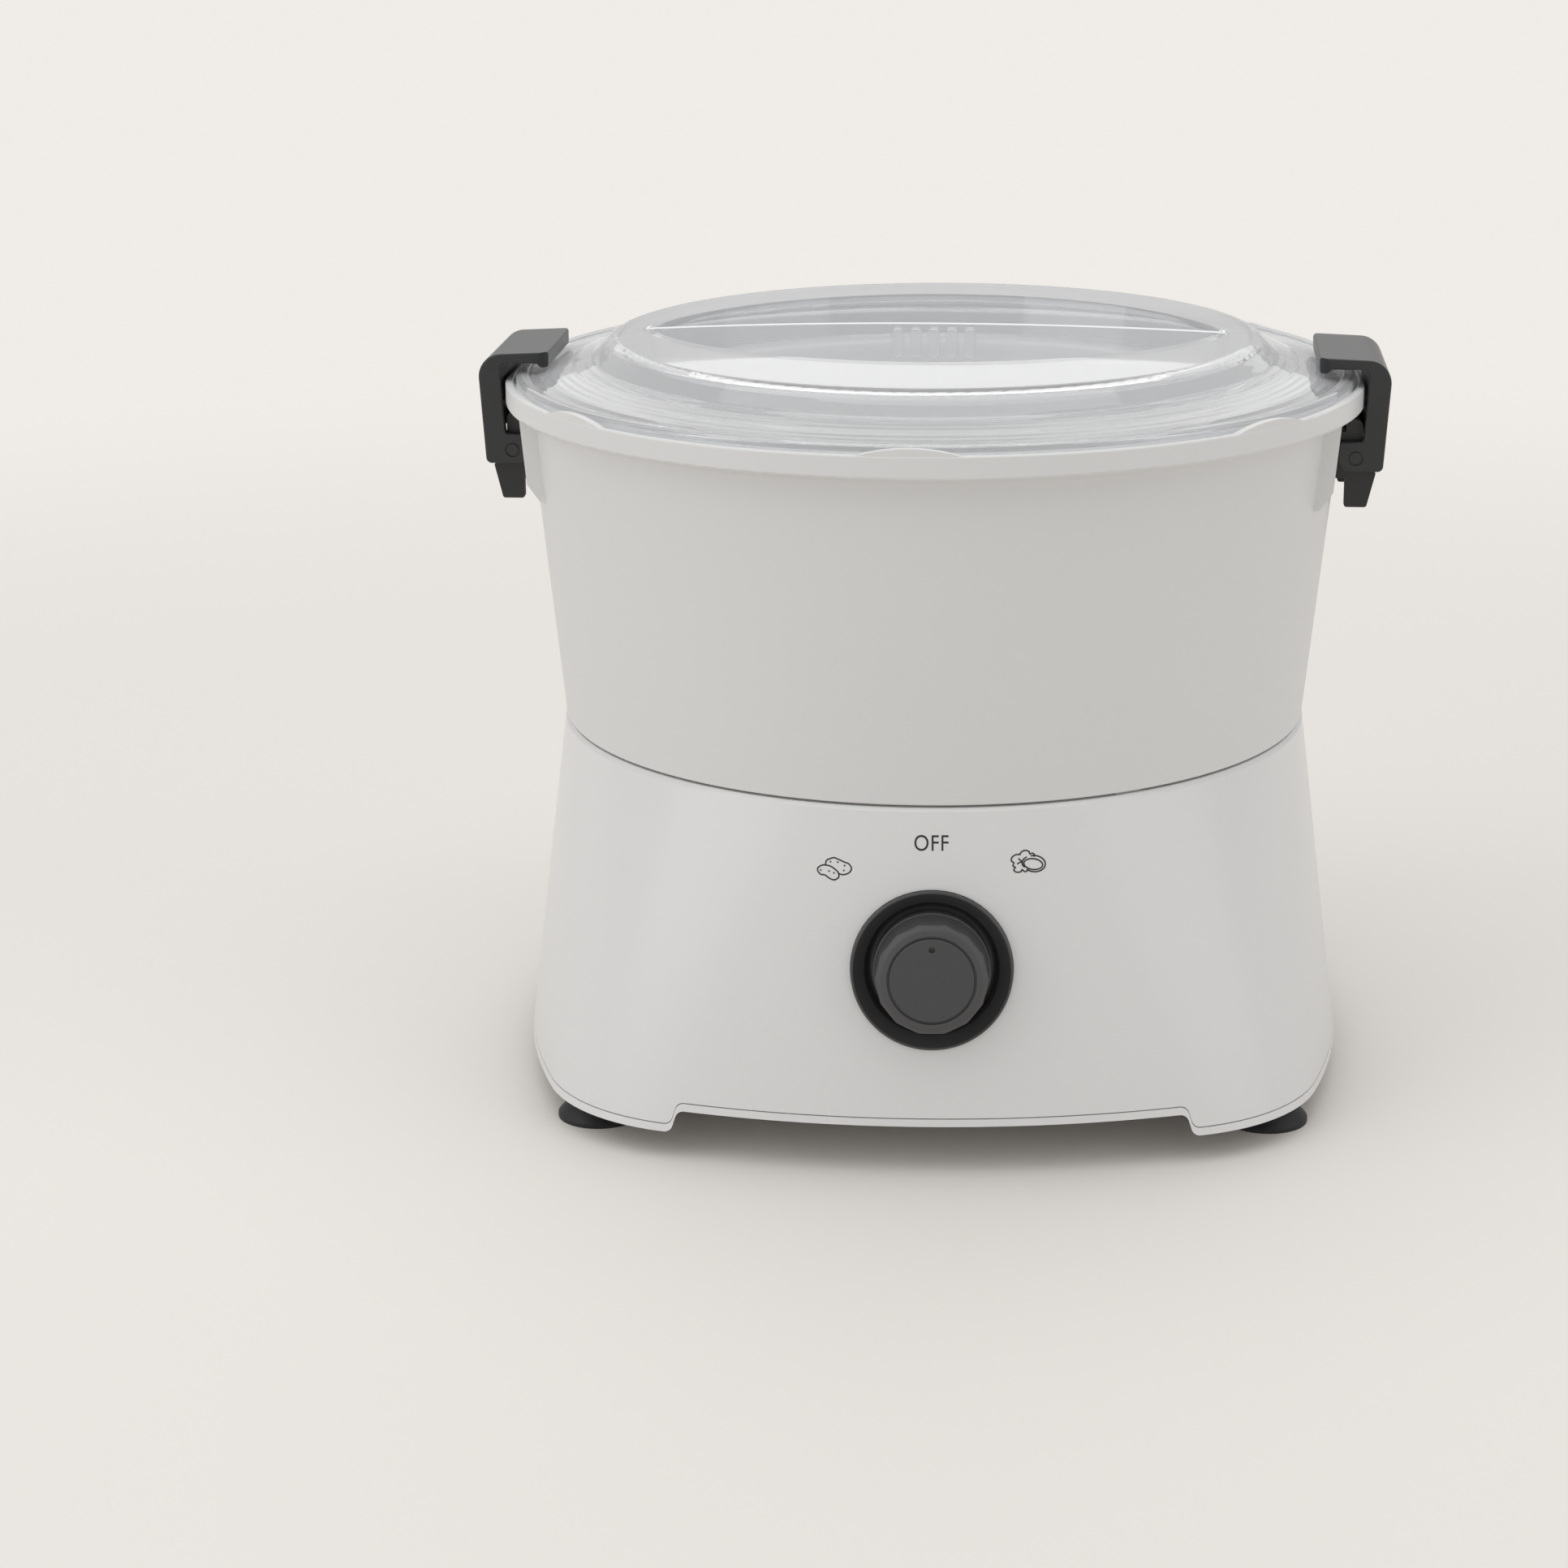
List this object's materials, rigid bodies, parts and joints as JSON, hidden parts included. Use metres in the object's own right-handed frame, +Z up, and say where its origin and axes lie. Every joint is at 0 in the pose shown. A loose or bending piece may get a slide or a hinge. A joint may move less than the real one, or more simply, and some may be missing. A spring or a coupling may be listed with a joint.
{
  "type": "electric potato peeler",
  "caption": "White electric potato peeler with a clear latched lid, round bowl, turning peeling disc and a selector knob on its motor base",
  "frame": {"origin": "On the worktop, on the axis of the drive", "axes": "Z is up along the drive axis, -Y is the front with the knob, X is to the right"},
  "size_m": [0.2532, 0.2442, 0.2087],
  "materials": {
    "white_plastic": "smooth moulded white, soft gloss",
    "bowl_white": "smooth moulded white, soft gloss",
    "clear_plastic": "clear moulded, glossy",
    "knob_grey": "dark grey, satin",
    "cap_grey": "dark grey, fine matt",
    "bezel_grey": "dark grey, soft gloss",
    "latch_grey": "dark grey, fine texture",
    "bracket_black": "black, satin",
    "black_plastic": "black, satin",
    "rubber": "black, soft",
    "steel": "turned, plain",
    "motor_steel": "zinc plated",
    "brass": "turned",
    "gear_plastic": "moulded, natural",
    "board_green": "lacquered board",
    "disc_grey": "moulded, lightly rough",
    "hub_grey": "moulded, satin"
  },
  "bodies": {
    "base": {"base_housing": "white_plastic", "bottom_cover": "white_plastic", "suction_foot_front_left": "rubber", "suction_foot_front_right": "rubber", "suction_foot_back_left": "rubber", "suction_foot_back_right": "rubber", "cover_screws": "steel", "cord_gland": "rubber", "knob_bezel": "bezel_grey", "selector_switch": "black_plastic", "switch_nut": "steel", "motor_can": "motor_steel", "motor_end_caps": "black_plastic", "motor_bracket": "motor_steel", "motor_mount_screws": "steel", "motor_face_screws": "steel", "upper_bearing": "steel", "lower_bush": "brass", "shaft_seal": "rubber", "speed_board": "board_green", "board_screws": "steel"},
    "knob": {"knob": "knob_grey", "knob_cap": "cap_grey", "switch_spindle": "steel"},
    "drive": {"drive_shaft": "steel", "drive_gear": "gear_plastic", "shaft_clip": "steel", "drive_coupling": "steel"},
    "rotor": {"motor_shaft": "steel", "motor_pinion": "brass"},
    "bowl": {"bowl": "bowl_white", "latch_bracket_left": "bracket_black", "latch_bracket_right": "bracket_black", "latch_pin_left": "latch_grey", "latch_pin_right": "latch_grey", "bracket_screws_left": "steel", "bracket_screws_right": "steel"},
    "lid": {"lid": "clear_plastic"},
    "hook_left": {"latch_hook_left": "latch_grey"},
    "hook_right": {"latch_hook_right": "latch_grey"},
    "disc": {"peeling_disc": "disc_grey", "disc_hub_cap": "hub_grey", "disc_blades": "steel"}
  },
  "joints": [
    {"name": "knob_turn", "type": "hinge", "parent": "base", "child": "knob", "pos_m": [0, -0.11038, 0.0562], "axis": [0, -0.9933, 0.1157], "range_deg": [-45, 45]},
    {"name": "drive_turn", "type": "hinge", "parent": "base", "child": "drive", "pos_m": [0, 0, 0.03], "axis": [0, 0, 1], "continuous": true},
    {"name": "rotor_turn", "type": "hinge", "parent": "base", "child": "rotor", "pos_m": [0, 0.0585, 0.06], "axis": [0, 0, 1], "continuous": true},
    {"name": "bowl_lift", "type": "slide", "parent": "base", "child": "bowl", "axis": [0, 0, 1], "range_m": [0, 0.045]},
    {"name": "lid_lift", "type": "slide", "parent": "bowl", "child": "lid", "axis": [0, 0, 1], "range_m": [0, 0.0078]},
    {"name": "hook_left_swing", "type": "hinge", "parent": "bowl", "child": "hook_left", "pos_m": [-0.11654, 0.00611, 0.1758], "axis": [-0.0523, -0.9986, 0], "range_deg": [0, 90]},
    {"name": "hook_right_swing", "type": "hinge", "parent": "bowl", "child": "hook_right", "pos_m": [0.11654, -0.00611, 0.1758], "axis": [0.0523, 0.9986, 0], "range_deg": [0, 90]},
    {"name": "disc_turn", "type": "hinge", "parent": "bowl", "child": "disc", "pos_m": [0, 0, 0.112], "axis": [0, 0, 1], "continuous": true}
  ],
  "couplings": [
    {"joint": "rotor_turn", "follows": "drive_turn", "ratio": -3.3333},
    {"joint": "disc_turn", "follows": "drive_turn", "ratio": 1},
    {"joint": "hook_left_swing", "follows": "lid_lift", "rad_per_m": 200},
    {"joint": "hook_right_swing", "follows": "lid_lift", "rad_per_m": 200}
  ]
}
